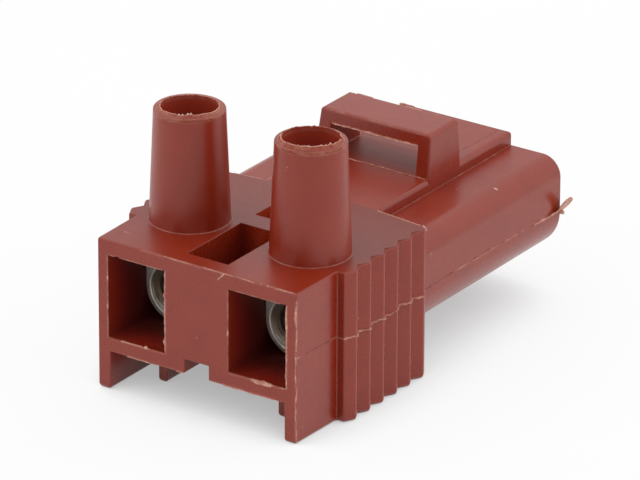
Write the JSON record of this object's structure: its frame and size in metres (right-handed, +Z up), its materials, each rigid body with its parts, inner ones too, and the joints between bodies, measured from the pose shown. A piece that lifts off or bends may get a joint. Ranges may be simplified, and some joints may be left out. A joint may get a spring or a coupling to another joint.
{
  "type": "pluggable terminal block",
  "caption": "Moulded pluggable terminal block, socket half: square wire entries with screw clamps under tall driver towers, ribbed grip, latch bridge and a mating nose with sleeve contacts.",
  "frame": {"origin": "under the middle of the part's box, on the surface that its skirts stand on", "axes": "+X across the poles, +Y from the wire entries to the mating end, +Z up along the screw towers"},
  "size_m": [0.0188, 0.0318, 0.0194],
  "materials": {
    "housing": "red-brown moulded plastic, semi-gloss, with pale mould flash along its edges",
    "terminal": "dull grey plated brass",
    "sleeve": "rolled spring bronze, satin",
    "screw": "zinc-plated steel"
  },
  "bodies": {
    "base": {"housing": "housing", "terminal_left": "terminal", "terminal_right": "terminal", "contact_sleeve_left": "sleeve", "contact_sleeve_right": "sleeve"},
    "screw_left": {"clamp_screw_left": "screw"},
    "screw_right": {"clamp_screw_right": "screw"}
  },
  "joints": [
    {"name": "clamp_left", "type": "slide", "parent": "base", "child": "screw_left", "axis": [0, 0, -1], "range_m": [0, 0.0026]},
    {"name": "clamp_right", "type": "slide", "parent": "base", "child": "screw_right", "axis": [0, 0, -1], "range_m": [0, 0.0026]}
  ]
}
